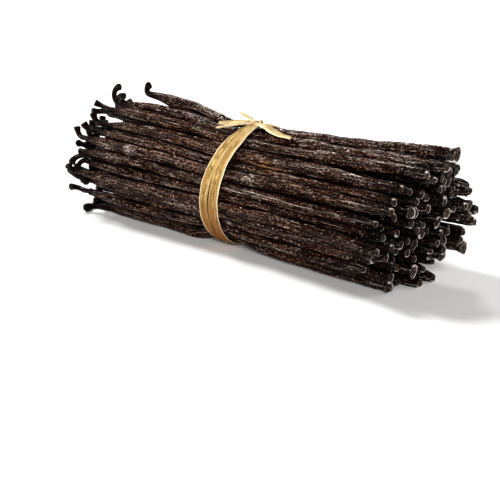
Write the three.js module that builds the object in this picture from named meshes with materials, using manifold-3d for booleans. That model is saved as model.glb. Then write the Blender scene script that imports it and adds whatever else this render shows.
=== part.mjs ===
// A bundle of cured vanilla pods, tied round the middle with one flat band of raffia.
// The frame is in millimetres with +Z up. The pods run along X: the blunt blossom ends
// are at +X and the thin curled stem ends at -X. The bundle lies on the plane z = 0,
// with the middle of its bounding box over the origin.
import * as THREE from 'three';
import { mergeVertices } from 'three/addons/utils/BufferGeometryUtils.js';
import Module from 'manifold-3d';

const wasm = await Module();
wasm.setup();

// ---- pods ----
const podCount = 100;
const bodyRadius = 2.54;
const radiusSpread = 0.4;
const tipX = 88.5;
const tipSlant = 1.0;
const tipRise = 5.0;
const tipSpread = 4.4;
const frontDrop = 5.0;
const lowDrop = 6.0;
const dropFrom = 0.1;
const backReach = { by: 4.0, from: 0.4, low: 0.1, over: 0.5 };
const riseFrom = 0.15;
const riseOver = 0.7;
const neckX = -86.0;
const neckSpread = 5.0;
const neckRise = 9.0;
const tipTaperLength = 20;
const tipTaper = 0.08;
const tipShoulder = 0.7;
const bodyFrom = 12;
const neckTaperLength = 19;
const neckTaper = 0.5;
const neckStart = 0.12;
const belly = 0.07;
const stalkRadius = 1.25;
const stalkKnob = 1.3;
const seedShift = 4.1;

// Pods that stand out at the stem end: how much shorter they are, how far they stand off,
// and their curl's turn and heading in degrees, its radius and the straight stalk before it.
const notable = {
  40: { shorter: -8, turn: 60 },
  61: { shorter: -6, turn: 70 },
  66: { turn: 50 },
  69: { shorter: 4, turn: 70 },
  72: { turn: 120, heading: 255, curl: 4.6, stalk: 4 },
  74: { shorter: 3, turn: 60 },
  77: { shorter: 3, turn: 60 },
  79: { shorter: 4, turn: 60 },
  82: { shorter: 2, turn: 60 },
  85: { turn: 25 },
  87: { shorter: 6, off: 6, turn: 160, heading: 80, curl: 2.0, stalk: 3 },
  90: { turn: 80, heading: 95, stalk: 5.5, curl: 4.5 },
  95: { shorter: 1, off: 0, turn: 170, heading: 84, curl: 4.2, stalk: 3 },
  98: { shorter: 3, turn: 85, heading: 90, stalk: 4, curl: 4.5 },
};
// The other stems draw theirs: least and spread of the stalk, the turn and the curl's radius.
const stems = {
  lookBack: 8, fan: 2.6, lowest: -0.35,
  stalk: [2, 5], turn: [35, 165], turnPower: 0.8, curl: [2.6, 2.2],
  gentle: 1.4, gentleCurl: 1.4, sharp: 1.9,
};

// ---- the bundle ----
const waistX = -4.2;
const waistY = 25.3;
const waistZ = 25.0;
const waistReach = 15;
const lift = 2.3;
// How much wider, higher and lower the oval is away from the waist, at the tips and at the stems.
const flare = { wide: 1.6, up: 2.4, down: 4.0 };
const tipFlare = { wide: 2.2, up: 1.0, power: 1.3 };
const stemFlare = { wide: -1.0, up: 2.8, power: 1.4 };
const swell = { size: 4.5, x: -40, reach: 27 };
// The pods under the waist hang clear of the ground, and the others rest on it.
const footX = -8;
const footHalf = 9;
const footEase = 14;
const flatCut = 0.45;
const stationCount = 15;
const stationEnd = 84;

// ---- how the pods settle ----
const rounds = 200;
const squeeze = 0.90;
const homeInset = 2.2;
const wander = 1.3;
const waveY = 24;
const waveZ = 27;
const stray = 3.2;
const strayFrom = 0.72;
const strayReach = 0.85;
const strayLow = -0.5;
const strayPower = 1.6;
const looseOver = 55;
const settling = { push: 0.42, smooth: 0.25, home: 0.03, floor: 0.35 };
const lowPod = 0.76;
const lowOver = 0.1;
const floorRest = 0.9;
const floorSink = 0.88;
const strayRoom = 25;

// ---- how coarse the solids are ----
const podSides = 5;
const ringsAt = [-44, -17, 1, 24, 50];
const stemSteps = 4;
const innerSides = 4;
const innerStemSides = 3;
const innerStemSteps = 2;
const stemShare = 0.44;
const outerShare = 0.868;
const coreSides = 16;
const coreInset = 2.2;
const coreLeft = -77;
const coreNarrowing = { by: 4, from: -55, over: 20 };
const coreRight = 73;
const coreRings = [coreLeft, -66, -54, -30, -4, 20, 46, coreRight];
const rootDepth = 5;
const podTwist = 0.9;
const stemTwist = 1.2;
const bluntEnd = 0.4;
const curveFineness = 400;
const groundSlab = { wide: 400, deep: 20 };

// ---- raffia ----
const bandThickness = 0.5;
const bandGap = 0.6;
const bandSteps = 40;
const bandLean = 0.17;
const knotX = 0.6;
const strands = [{ side: -1, wide: 4.6 }, { side: 1, wide: 5.4 }];
const knotWidth = 3.4;
const knotSpread = 0.32;
const gatherAngle = 0.75;
// The strands lap over each other near the knot and part lower down.
const lap = 0.3;
const slit = 0.7;
const slitFrom = 0.95;
const slitOver = 0.5;
const knotSize = [2.7, 2.4, 1.5];
const knotRise = 1.2;
const bandProbes = [-8, -4, 0, 4, 8];
const ways = 120;
const facing = 0.3;
// Each free end of raffia: where it lies as steps from the knot, its widths and thickness.
const tails = [
  { run: [[0, 0, 0], [8, -3.0, 0.7], [18, -7.0, -0.3], [28, -10.5, -0.6]], wide: [2.6, 4.6, 4.4, 2.2] },
  { run: [[0, 0, 0], [-5, -2.0, 0.6], [-10, -4.6, 0.0], [-15, -7.0, -0.6]], wide: [2.4, 4.8, 5.2, 3.2] },
  { run: [[0, 0, 0], [-4, -4.0, 0.0], [-9, -8.0, -1.2], [-13, -11, -2.0]], wide: [1.6, 1.6, 1.5, 1.2] },
  { run: [[0, 0, 0.4], [-3, 0.6, 1.3], [-6, 0.8, 2.2], [-9, 0.5, 3.2]], wide: [2.4, 3.0, 3.0, 2.2] },
];

// ---- the box's middle, taken off every node ----
const middleX = -3.53;
const middleY = 1.9;

const podColour = '#2a1813';
const raffiaColour = '#dcbd74';

const tau = Math.PI * 2;
const goldenAngle = 2.399963;
const clamp = (v, low = 0, high = 1) => Math.min(high, Math.max(low, v));
const ease = (t) => clamp(t) * clamp(t) * (3 - 2 * clamp(t));

function chance(i, k) {
  const v = Math.sin(i * 12.9898 + k * 78.233 + seedShift) * 43758.5453;
  return v - Math.floor(v);
}

// Only pods on the outside, and not underneath, stand off the bundle at an end.
const canStray = (reach, z) => reach > strayReach && z > strayLow;

// Each pod has its own girth, neck and tip. At the tips the front pods, and the lowest of them
// most, stop short, and the low ones at the back reach further.
const pods = [];
for (let i = 0; i < podCount; i += 1) {
  const reach = Math.sqrt((i + 0.5) / podCount);
  const angle = i * goldenAngle;
  const y = reach * Math.cos(angle);
  const z = reach * Math.sin(angle);
  pods.push({
    i,
    y,
    z,
    reach,
    girth: bodyRadius + radiusSpread * (chance(i, 1) * 2 - 1),
    neck: neckX + neckSpread * (chance(i, 2) * 2 - 1) + neckRise * ease((z - riseFrom) / riseOver)
      + (notable[i]?.shorter ?? 0),
    tip: tipX + tipSlant * y + tipRise * z + tipSpread * (chance(i, 3) * 2 - 1)
      - frontDrop * ease((-y - dropFrom) / riseOver)
      - lowDrop * ease((-z - dropFrom) / riseOver) * (1 - y) * 0.5
      + backReach.by * ease((y - backReach.from) / backReach.over)
        * ease((backReach.low - z) / backReach.over),
    phaseY: chance(i, 5) * tau,
    phaseZ: chance(i, 6) * tau,
    offLeft: notable[i]?.off ?? (chance(i, 7) > strayFrom && canStray(reach, z) ? stray : 0),
    offRight: chance(i, 8) > strayFrom && canStray(reach, z) ? stray : 0,
  });
}

// A pod is thin at its neck, even along its body and a little slimmer at its tip.
function podRadius(pod, x) {
  const s = (x - pod.neck) / (pod.tip - pod.neck);
  const grow = 1 - neckTaper + neckTaper * ease((x - pod.neck) / neckTaperLength + neckStart);
  const close = 1 - tipTaper * ease((x - pod.tip + tipTaperLength) / tipTaperLength);
  const round = 1 - belly + belly * Math.sin(Math.PI * clamp(s));
  return pod.girth * grow * close * round;
}

// The bundle's outline is an oval at each station: tight at the waist, wider at the ends.
const centreZ = waistZ + lift;
const stations = [];
for (let j = 0; j < stationCount; j += 1) {
  const x = -stationEnd + (2 * stationEnd * j) / (stationCount - 1);
  const left = clamp(-x / stationEnd);
  const right = clamp(x / stationEnd);
  const bulge = 1 - Math.exp(-(((x - waistX) / waistReach) ** 4));
  const atTips = right ** tipFlare.power;
  const humped = swell.size * bulge * Math.exp(-(((x - swell.x) / swell.reach) ** 2));
  stations.push({
    x,
    left,
    right,
    wide: waistY + flare.wide * bulge + tipFlare.wide * atTips + stemFlare.wide * left,
    up: waistZ + flare.up * bulge + tipFlare.up * atTips + stemFlare.up * left ** stemFlare.power
      + humped,
    down: waistZ + flare.down * bulge,
    loose: clamp((Math.abs(x - waistX) - footHalf) / looseOver),
    floorPull: clamp((Math.abs(x - footX) - footHalf) / footEase),
  });
}

// The pods settle against each other at every station, and stay smooth along their length.
function settle() {
  const home = stations.map((st) => pods.map((p) => {
    const off = p.offLeft * st.left ** strayPower + p.offRight * st.right ** strayPower;
    const high = p.z > 0 ? st.up : st.down;
    return [
      p.y * (st.wide - homeInset) + wander * st.loose * Math.sin(st.x / waveY + p.phaseY)
        + off * p.y,
      centreZ + p.z * (high - homeInset) + wander * st.loose * Math.sin(st.x / waveZ + p.phaseZ)
        + off * p.z,
      off,
    ];
  }));
  const radius = stations.map((st) => pods.map((p) => podRadius(p, st.x)));
  let spot = home.map((row) => row.map((h) => [h[0], h[1]]));
  for (let round = 0; round < rounds; round += 1) {
    const pushed = spot.map((row, j) => row.map((a, m) => {
      let py = 0;
      let pz = 0;
      for (let n = 0; n < podCount; n += 1) {
        if (n !== m) {
          const dy = a[0] - row[n][0];
          const dz = a[1] - row[n][1];
          const gap = Math.sqrt(dy * dy + dz * dz) + 1e-9;
          const over = squeeze * (radius[j][m] + radius[j][n]) - gap;
          if (over > 0) {
            py += (dy / gap) * over;
            pz += (dz / gap) * over;
          }
        }
      }
      return [a[0] + settling.push * py, a[1] + settling.push * pz];
    }));
    spot = pushed.map((row, j) => row.map((a, m) => {
      const st = stations[j];
      const rho = radius[j][m];
      let next = [a[0], a[1]];
      for (let k = 0; k < 2; k += 1) {
        const inner = j > 0 && j < stationCount - 1;
        const bend = inner ? 0.5 * (pushed[j - 1][m][k] + pushed[j + 1][m][k]) - a[k] : 0;
        next[k] = a[k] + settling.smooth * bend + settling.home * (home[j][m][k] - a[k]);
      }
      const low = clamp((-pods[m].z - lowPod) / lowOver) * st.floorPull;
      next[1] += settling.floor * low * (rho * floorRest - next[1]);
      const up = next[1] - centreZ;
      const tall = up > 0 ? st.up : st.down;
      const out = Math.hypot(next[0] / (st.wide - rho), up / (tall - rho));
      const limit = 1 + home[j][m][2] / strayRoom;
      const f = out > limit ? limit / out : 1;
      next = [next[0] * f, Math.max(centreZ + up * f, rho * floorSink)];
      return next;
    }));
  }
  return spot;
}
const spot = settle();

// How far out a pod lies: 1 touches the outline.
pods.forEach((p, m) => {
  p.out = 0;
  stations.forEach((st, j) => {
    const rho = podRadius(p, st.x);
    const up = spot[j][m][1] - centreZ;
    const tall = up > 0 ? st.up : st.down;
    p.out = Math.max(p.out, Math.hypot(spot[j][m][0] / (st.wide - rho), up / (tall - rho)));
  });
  p.outer = p.out > outerShare;
});

// A pod's middle line, smooth through its stations and straight past the last of them.
function lineAt(m, x) {
  const step = (2 * stationEnd) / (stationCount - 1);
  const t = (x + stationEnd) / step;
  const j = Math.floor(clamp(t, 0, stationCount - 1.001));
  const f = t - j;
  const take = (n) => spot[clamp(n, 0, stationCount - 1)][m];
  if (t < 0) {
    return [0, 1].map((k) => take(0)[k] + (take(1)[k] - take(0)[k]) * t);
  }
  if (t > stationCount - 1) {
    const over = t - (stationCount - 1);
    return [0, 1].map((k) => take(stationCount)[k]
      + (take(stationCount)[k] - take(stationCount - 2)[k]) * over);
  }
  const a = take(j - 1);
  const b = take(j);
  const c = take(j + 1);
  const d = take(j + 2);
  return [0, 1].map((k) => 0.5 * (2 * b[k] + (c[k] - a[k]) * f
    + (2 * a[k] - 5 * b[k] + 4 * c[k] - d[k]) * f * f
    + (3 * b[k] - a[k] - 3 * c[k] + d[k]) * f * f * f));
}

// ---- solids ----
function solidOf(geometry) {
  const bare = geometry.index ? geometry.toNonIndexed() : geometry.clone();
  bare.deleteAttribute('normal');
  bare.deleteAttribute('uv');
  const merged = mergeVertices(bare, 1e-4);
  const index = merged.index.array;
  const kept = [];
  for (let t = 0; t < index.length; t += 3) {
    if (index[t] !== index[t + 1] && index[t + 1] !== index[t + 2] && index[t] !== index[t + 2]) {
      kept.push(index[t], index[t + 1], index[t + 2]);
    }
  }
  const solid = new wasm.Manifold(new wasm.Mesh({
    numProp: 3,
    vertProperties: new Float32Array(merged.attributes.position.array),
    triVerts: new Uint32Array(kept),
  }));
  return solid;
}

// The joined surface, without any pocket that the joining sealed inside it.
function geometryOf(solid) {
  const mesh = solid.getMesh();
  const index = mesh.triVerts;
  const parent = Array.from({ length: mesh.vertProperties.length / 3 }, (_, n) => n);
  const rootOf = (n) => {
    let r = n;
    while (parent[r] !== r) {
      parent[r] = parent[parent[r]];
      r = parent[r];
    }
    return r;
  };
  for (let t = 0; t < index.length; t += 3) {
    parent[rootOf(index[t])] = rootOf(index[t + 1]);
    parent[rootOf(index[t + 1])] = rootOf(index[t + 2]);
  }
  const size = new Map();
  for (let t = 0; t < index.length; t += 3) {
    const r = rootOf(index[t]);
    size.set(r, (size.get(r) ?? 0) + 1);
  }
  const largest = [...size.entries()].sort((p, q) => q[1] - p[1])[0][0];
  const kept = [];
  for (let t = 0; t < index.length; t += 3) {
    if (rootOf(index[t]) === largest) {
      kept.push(index[t], index[t + 1], index[t + 2]);
    }
  }
  const geometry = new THREE.BufferGeometry();
  geometry.setAttribute('position', new THREE.BufferAttribute(mesh.vertProperties, 3));
  geometry.setIndex(kept);
  geometry.computeVertexNormals();
  return geometry;
}

// A round bar of changing radius, bent along a line of points, with a blunt far end.
function bentBar(points, radii, sides, turn) {
  const run = [0];
  for (let n = 1; n < points.length; n += 1) {
    run.push(run[n - 1] + points[n].distanceTo(points[n - 1]));
  }
  const whole = run[run.length - 1];
  const last = points.length - 1;
  const profile = [[0, 0]];
  radii.forEach((radius, n) => profile.push([radius, (n === last ? whole - bluntEnd : run[n]) / whole]));
  profile.push([0, 1]);
  const bar = new THREE.LatheGeometry(
    profile.map(([radius, share]) => new THREE.Vector2(radius, share)),
    sides,
    turn,
  );
  const curve = new THREE.CatmullRomCurve3(points, false, 'centripetal');
  curve.arcLengthDivisions = curveFineness;
  const frames = curve.computeFrenetFrames(curveFineness, false);
  const at = bar.attributes.position;
  for (let n = 0; n < at.count; n += 1) {
    const share = clamp(at.getY(n));
    const here = curve.getPointAt(share);
    const f = Math.round(share * curveFineness);
    here.addScaledVector(frames.normals[f], at.getX(n));
    here.addScaledVector(frames.binormals[f], -at.getZ(n));
    at.setXYZ(n, here.x, here.y, here.z);
  }
  return solidOf(bar);
}

const onLine = (m, x) => new THREE.Vector3(x, ...lineAt(m, x));

// The stem's line and radii: a straight stalk back from the neck, then a curl with a blunt end.
function stemLine(m, steps) {
  const pod = pods[m];
  const own = notable[m] ?? {};
  const base = onLine(m, pod.neck);
  const back = base.clone().sub(onLine(m, pod.neck + stems.lookBack)).normalize();
  let heading = Math.atan2(pod.z, pod.y) + (chance(m, 10) - 0.5) * stems.fan;
  if (pod.z < stems.lowest && Math.sin(heading) < 0) {
    heading = -heading;
  }
  heading = own.heading ? (own.heading * Math.PI) / 180 : heading;
  const bend = new THREE.Vector3(0, Math.cos(heading), Math.sin(heading));
  bend.addScaledVector(back, -bend.dot(back)).normalize();
  const draw = ([least, spread], share) => least + spread * share;
  const stalk = own.stalk ?? draw(stems.stalk, chance(m, 11));
  const degrees = own.turn ?? draw(stems.turn, chance(m, 12) ** stems.turnPower);
  const turn = (degrees * Math.PI) / 180;
  const curl = own.curl ?? draw(stems.curl, chance(m, 13)) * (turn < stems.gentle ? stems.gentleCurl : 1);
  const knee = base.clone().addScaledVector(back, stalk);
  const points = pod.outer ? [base, knee] : [base];
  const radii = pod.outer ? [podRadius(pod, pod.neck), stalkRadius] : [podRadius(pod, pod.neck)];
  const count = pod.outer && turn < stems.sharp ? steps - 1 : steps;
  for (let n = 1; n <= count; n += 1) {
    const th = (turn * n) / count;
    points.push(knee.clone().addScaledVector(back, curl * Math.sin(th))
      .addScaledVector(bend, curl * (1 - Math.cos(th))));
    radii.push(stalkRadius * (n === count ? stalkKnob : 1));
  }
  return { points, radii };
}

// A pod that shows along its side: one bar from the curled stem to the blunt tip.
function wholePod(m) {
  const pod = pods[m];
  const stem = stemLine(m, stemSteps);
  const xs = [pod.neck + bodyFrom, ...ringsAt, pod.tip - tipTaperLength * tipShoulder, pod.tip];
  return bentBar(
    [...stem.points.reverse(), ...xs.map((x) => onLine(m, x))],
    [...stem.radii.reverse(), ...xs.map((x) => podRadius(pod, x))],
    podSides,
    chance(m, 20) * podTwist,
  );
}

// Of a pod inside the bundle only the tip stands out of the core.
function innerTip(m) {
  const xs = [coreRight - rootDepth, pods[m].tip];
  return bentBar(xs.map((x) => onLine(m, x)), xs.map((x) => podRadius(pods[m], x)), innerSides,
    chance(m, 20) * podTwist);
}

// And its stem, which starts inside the core.
function innerStem(m) {
  const stem = stemLine(m, innerStemSteps);
  const root = coreLeft + rootDepth;
  return bentBar([onLine(m, root), ...stem.points], [podRadius(pods[m], root), ...stem.radii],
    innerStemSides, chance(m, 21) * stemTwist);
}

// The hidden pods in the middle are one plain core with the outline's shape.
function coreSolid() {
  const profile = [[0, coreLeft], ...coreRings.map((x) => [1, x]), [0, coreRight]];
  const turned = new THREE.LatheGeometry(
    profile.map(([radius, x]) => new THREE.Vector2(radius, x)),
    coreSides,
  );
  const at = turned.attributes.position;
  const step = (2 * stationEnd) / (stationCount - 1);
  for (let n = 0; n < at.count; n += 1) {
    const x = at.getY(n);
    const t = clamp((x + stationEnd) / step, 0, stationCount - 1.001);
    const j = Math.floor(t);
    const mix = (key) => stations[j][key] * (1 - (t - j)) + stations[j + 1][key] * (t - j);
    const inset = coreInset
      + coreNarrowing.by * ease((coreNarrowing.from - x) / coreNarrowing.over);
    const side = at.getX(n);
    const up = at.getZ(n);
    const tall = (up > 0 ? mix('up') : mix('down')) - inset;
    at.setXYZ(n, x, -side * (mix('wide') - inset), centreZ + up * tall);
  }
  return solidOf(turned);
}

function podsSolid() {
  let solid = coreSolid();
  if (solid.volume() < 0) {
    throw new Error('the core is inside out');
  }
  pods.forEach((pod, m) => {
    if (pod.outer) {
      solid = solid.add(wholePod(m));
    } else {
      solid = solid.add(innerTip(m));
      if (pod.reach > stemShare) {
        solid = solid.add(innerStem(m));
      }
    }
  });
  const { wide, deep } = groundSlab;
  const slab = solidOf(new THREE.BoxGeometry(wide, wide, deep).translate(0, 0, flatCut - deep / 2));
  return solid.subtract(slab).translate(0, 0, -flatCut);
}

// ---- the raffia tie ----
const topZ = centreZ + waistZ;
const bandX = (z) => knotX - bandLean * (topZ - z);

// How far the pods reach from the bundle's middle in one direction, near the band.
function reachOf(angle) {
  const n = [-Math.sin(angle), Math.cos(angle)];
  const middle = bandX(centreZ + waistZ * Math.cos(angle));
  let far = 0;
  bandProbes.forEach((dx) => {
    pods.forEach((pod, m) => {
      const [y, z] = lineAt(m, middle + dx);
      far = Math.max(far, y * n[0] + (z - centreZ) * n[1] + podRadius(pod, middle + dx));
    });
  });
  return far;
}
const reaches = Array.from({ length: ways }, (_, n) => reachOf((tau * n) / ways));

// A taut band touches only the outermost pods and bridges the dips between them.
function tautRadius(angle) {
  let least = Infinity;
  reaches.forEach((far, n) => {
    const c = Math.cos(angle - (tau * n) / ways);
    if (c > facing) {
      least = Math.min(least, far / c);
    }
  });
  return least;
}

// One strand: a flat ring, gathered at the knot, leaning so that its foot is nearer -X.
function strandSolid({ side, wide: full }) {
  const ring = new THREE.LatheGeometry(
    [[1, -0.5], [2, -0.5], [2, 0.5], [1, 0.5], [1, -0.5]].map(([r, y]) => new THREE.Vector2(r, y)),
    bandSteps,
  );
  const at = ring.attributes.position;
  for (let n = 0; n < at.count; n += 1) {
    const angle = Math.atan2(at.getX(n), at.getZ(n));
    const layer = Math.round(Math.hypot(at.getX(n), at.getZ(n))) - 1;
    const open = ease(Math.abs(angle) / gatherAngle);
    const parted = (lap + slit) * ease((Math.abs(angle) - slitFrom) / slitOver) - lap;
    const wide = knotWidth + (full - knotWidth) * open;
    const apart = knotWidth * knotSpread * (1 - open) + (full + parted) * 0.5 * open;
    const radius = tautRadius(angle) + bandGap + layer * bandThickness;
    const z = centreZ + radius * Math.cos(angle);
    at.setXYZ(n, bandX(z) + side * apart + at.getY(n) * wide, -radius * Math.sin(angle), z);
  }
  return solidOf(ring);
}

// A flat ribbon along a line of points, lying level across its width.
function ribbonSolid(points, widths) {
  const curve = new THREE.CatmullRomCurve3(points, false, 'centripetal');
  const steps = 7;
  const strip = new THREE.BoxGeometry(1, 1, 1, steps, 1, 1);
  const at = strip.attributes.position;
  for (let n = 0; n < at.count; n += 1) {
    const share = clamp(at.getX(n) + 0.5);
    const here = curve.getPointAt(share);
    const along = curve.getTangentAt(share);
    const across = new THREE.Vector3(0, 0, 1).cross(along).normalize();
    const up = along.clone().cross(across);
    const step = share * (widths.length - 1);
    const k = Math.min(Math.floor(step), widths.length - 2);
    const wide = widths[k] + (widths[k + 1] - widths[k]) * (step - k);
    here.addScaledVector(across, at.getY(n) * wide);
    here.addScaledVector(up, at.getZ(n) * bandThickness);
    at.setXYZ(n, here.x, here.y, here.z);
  }
  return solidOf(strip);
}

function tieSolid() {
  const knotZ = centreZ + tautRadius(0) + bandGap + knotRise;
  const knot = new THREE.SphereGeometry(1, 12, 8);
  knot.scale(knotSize[0], knotSize[1], knotSize[2]);
  knot.translate(knotX, 0, knotZ);
  let solid = strandSolid(strands[0]).add(strandSolid(strands[1])).add(solidOf(knot));
  tails.forEach((tail) => {
    const points = tail.run.map(([x, y, z]) => new THREE.Vector3(knotX + x, y, knotZ + z));
    solid = solid.add(ribbonSolid(points, tail.wide));
  });
  return solid.translate(0, 0, -flatCut);
}

const podsMesh = new THREE.Mesh(
  geometryOf(podsSolid()),
  new THREE.MeshStandardMaterial({ color: podColour, roughness: 0.45, metalness: 0 }),
);
podsMesh.name = 'pods';

const tieMesh = new THREE.Mesh(
  geometryOf(tieSolid()),
  new THREE.MeshStandardMaterial({ color: raffiaColour, roughness: 0.7, metalness: 0 }),
);
tieMesh.name = 'raffia_tie';

const bundle = new THREE.Group();
bundle.name = 'vanilla_bundle';
bundle.add(podsMesh, tieMesh);
bundle.position.set(-middleX, -middleY, 0);
export default bundle;
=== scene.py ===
# A bundle of cured vanilla pods tied with raffia: the pods, their stems and the tie,
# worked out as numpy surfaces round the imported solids. Lengths here are millimetres.
import math

import bpy
import numpy as np
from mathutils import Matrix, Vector


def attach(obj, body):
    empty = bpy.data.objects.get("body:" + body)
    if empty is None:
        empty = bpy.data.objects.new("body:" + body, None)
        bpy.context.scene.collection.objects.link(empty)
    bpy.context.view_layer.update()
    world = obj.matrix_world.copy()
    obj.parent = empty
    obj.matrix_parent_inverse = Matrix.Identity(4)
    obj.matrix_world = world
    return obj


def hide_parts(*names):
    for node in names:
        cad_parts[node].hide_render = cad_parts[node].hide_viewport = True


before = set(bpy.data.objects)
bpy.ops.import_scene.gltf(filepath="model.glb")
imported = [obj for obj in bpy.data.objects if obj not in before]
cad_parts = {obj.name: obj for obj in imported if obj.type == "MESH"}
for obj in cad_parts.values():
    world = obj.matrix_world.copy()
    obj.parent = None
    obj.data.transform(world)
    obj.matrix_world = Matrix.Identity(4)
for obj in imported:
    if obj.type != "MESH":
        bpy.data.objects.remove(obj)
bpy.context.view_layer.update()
print("frame loaded")

mm = 0.001
tau = 2 * math.pi


# ---- small helpers ----
def chance(i, k):
    # an even draw from 0 to 1, the fraction of a large sine of i and k: k tells the draws apart
    v = np.sin(np.asarray(i) * 12.9898 + k * 78.233 + 4.1) * 43758.5453
    return v - np.floor(v)


def ease(t):  # a smooth step: 3t squared less 2t cubed, held between 0 and 1
    t = np.clip(t, 0, 1)
    return t * t * (3 - 2 * t)


def unit(v):  # each vector over its own length
    return v / (np.linalg.norm(v, axis=-1, keepdims=True) + 1e-12)


def squared(v, t):  # the unit vector of v less what of it points along the unit vector t
    return unit(v - t * (v * t).sum(-1, keepdims=True))


def cubic(a, b, c, d, f):
    # from b to c as f goes from 0 to 1, leaving b in the direction a to c and meeting c in that
    # of b to d
    return 0.5 * (2 * b + (c - a) * f + (2 * a - 5 * b + 4 * c - d) * f ** 2
                  + (3 * b - a - 3 * c + d) * f ** 3)


def ringFaces(tubes, rings, around, closed):
    # quads between each ring and the next, and a fan to a pole at each end unless closed
    poles = 0 if closed else 2
    base = (np.arange(tubes) * (rings * around + poles))[:, None, None]
    ring = np.arange(rings if closed else rings - 1)[None, :, None]
    ahead = (ring + 1) % rings * around
    ring = ring * around
    side = np.arange(around)[None, None, :]
    beside = (side + 1) % around
    quads = np.stack([base + ring + side, base + ring + beside,
                      base + ahead + beside, base + ahead + side], -1).reshape(-1, 4)
    if closed:
        return quads, np.zeros((0, 3), int)
    flat = base[:, 0]
    side, beside = side[0], beside[0]
    first = flat + rings * around + 0 * side
    low = np.stack([first, flat + beside, flat + side], -1)
    top = flat + (rings - 1) * around
    high = np.stack([first + 1, top + side, top + beside], -1)
    return quads, np.concatenate([low, high]).reshape(-1, 3)


def meshFrom(name, points, quads, fans, material, values=None):
    # points (n, 3) in millimetres go in as whole arrays, with one value per vertex in each layer
    mesh = bpy.data.meshes.new(name)
    count = len(quads) + len(fans)
    corners = np.concatenate([quads.ravel(), fans.ravel()])
    starts = np.concatenate([np.arange(len(quads)) * 4, quads.size + np.arange(len(fans)) * 3])
    mesh.vertices.add(len(points))
    mesh.vertices.foreach_set("co", (points * mm).astype(np.float32).ravel())
    mesh.loops.add(len(corners))
    mesh.loops.foreach_set("vertex_index", corners.astype(np.int32))
    mesh.polygons.add(count)
    mesh.polygons.foreach_set("loop_start", starts.astype(np.int32))
    mesh.polygons.foreach_set("use_smooth", np.ones(count, bool))
    mesh.update(calc_edges=True)
    for key, data in (values or {}).items():
        data = np.asarray(data, np.float32)
        kind, field = ("FLOAT_VECTOR", "vector") if data.ndim == 2 else ("FLOAT", "value")
        mesh.attributes.new(key, kind, "POINT").data.foreach_set(field, data.ravel())
    mesh.validate()
    mesh.materials.append(material)
    made = bpy.data.objects.new(name, mesh)
    bpy.context.scene.collection.objects.link(made)
    return made


def carried(path, side, up, across, outwards):
    # a section (rings, around) carried along a path (rings, 3): path + across*side + outwards*up
    return (path[..., None, :] + across[..., None] * side[..., None, :]
            + outwards[..., None] * up[..., None, :])


def framesAlong(path, firstSide):
    # each ring's side is the last ring's, less what now points along the path
    along = unit(np.gradient(path, axis=-2))
    side = np.zeros_like(path)
    last = firstSide
    for ring in range(path.shape[-2] - 1, -1, -1):
        last = squared(last, along[..., ring, :])
        side[..., ring, :] = last
    return along, side, np.cross(along, side)


# ---- shader maths ----
class Wire:  # one socket of a node tree, which adds, scales and blends as a number does
    def __init__(self, tree, socket=None):
        self.tree, self.socket = tree, socket

    def node(self, kind, settings=None, sockets=None, out=0):
        # a new node, its settings set and its sockets linked or set, as a wire from one output
        made = self.tree.nodes.new(kind)
        for key, value in (settings or {}).items():
            setattr(made, key, value)
        for key, value in (sockets or {}).items():
            if isinstance(value, Wire):
                self.tree.links.new(value.socket, made.inputs[key])
            else:
                made.inputs[key].default_value = value
        return Wire(self.tree, made.outputs[out]) if made.outputs else made

    def maths(self, operation, *values):  # the values put through one operation, in order
        return self.node("ShaderNodeMath", {"operation": operation}, dict(enumerate(values)))

    def __add__(self, other): return self.maths("ADD", self, other)
    def __radd__(self, other): return self.maths("ADD", other, self)
    def __sub__(self, other): return self.maths("SUBTRACT", self, other)
    def __rsub__(self, other): return self.maths("SUBTRACT", other, self)
    def __mul__(self, other): return self.maths("MULTIPLY", self, other)
    def __rmul__(self, other): return self.maths("MULTIPLY", other, self)

    def held(self, low=0.0, high=1.0):
        # 0 at low, 1 at high and a smooth step between them, whichever of the two is larger
        return self.node("ShaderNodeMapRange", {"interpolation_type": "SMOOTHSTEP"},
                         {"Value": self, "From Min": low, "From Max": high})

    def layer(self, name, out="Vector"):  # a value that the mesh holds at each point
        return self.node("ShaderNodeAttribute", {"attribute_name": name}, out=out)

    def scaled(self, factors):  # each coordinate times its own factor
        return self.node("ShaderNodeVectorMath", {"operation": "MULTIPLY"}, {0: self, 1: factors})

    def near(self, spot, reach):
        # 1 within a fifth of the reach from the spot, fading to 0 at the reach in each direction
        away = self.node("ShaderNodeVectorMath", {"operation": "SUBTRACT"}, {0: self, 1: spot})
        share = away.scaled([1 / r for r in reach])
        return share.node("ShaderNodeVectorMath", {"operation": "LENGTH"}, {0: share}, 1).held(1, 0.2)

    def nearAny(self, spots, reach):  # the sum of how near each spot is
        return sum((self.near(spot, reach) for spot in spots[1:]), self.near(spots[0], reach))

    def noise(self, scale, detail, rough, warp=0.0):  # cloudy noise, mostly from 0.3 to 0.7
        return self.node("ShaderNodeTexNoise", None, {
            "Vector": self, "Scale": scale, "Detail": detail, "Roughness": rough,
            "Distortion": warp})

    def blend(self, one, other):  # this wire is the share of the other colour
        return self.node("ShaderNodeMix", {"data_type": "RGBA"}, {0: self, 6: one, 7: other}, 2)


def newMaterial(name):  # a material with an empty node tree, and a wire to build it with
    material = bpy.data.materials.new(name)
    material.use_nodes = True
    tree = material.node_tree
    tree.nodes.clear()
    return material, Wire(tree)


def finishMaterial(wire, colour, roughness, bump, **constants):
    # bump: its strength, its depth in mm and its height
    strength, depth, height = bump
    normal = wire.node("ShaderNodeBump", None, {
        "Strength": strength, "Distance": depth * mm, "Height": height})
    shader = wire.node("ShaderNodeBsdfPrincipled", None, {
        "Base Color": colour, "Roughness": roughness, "Normal": normal, **constants})
    wire.node("ShaderNodeOutputMaterial", None, {"Surface": shader})


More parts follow.
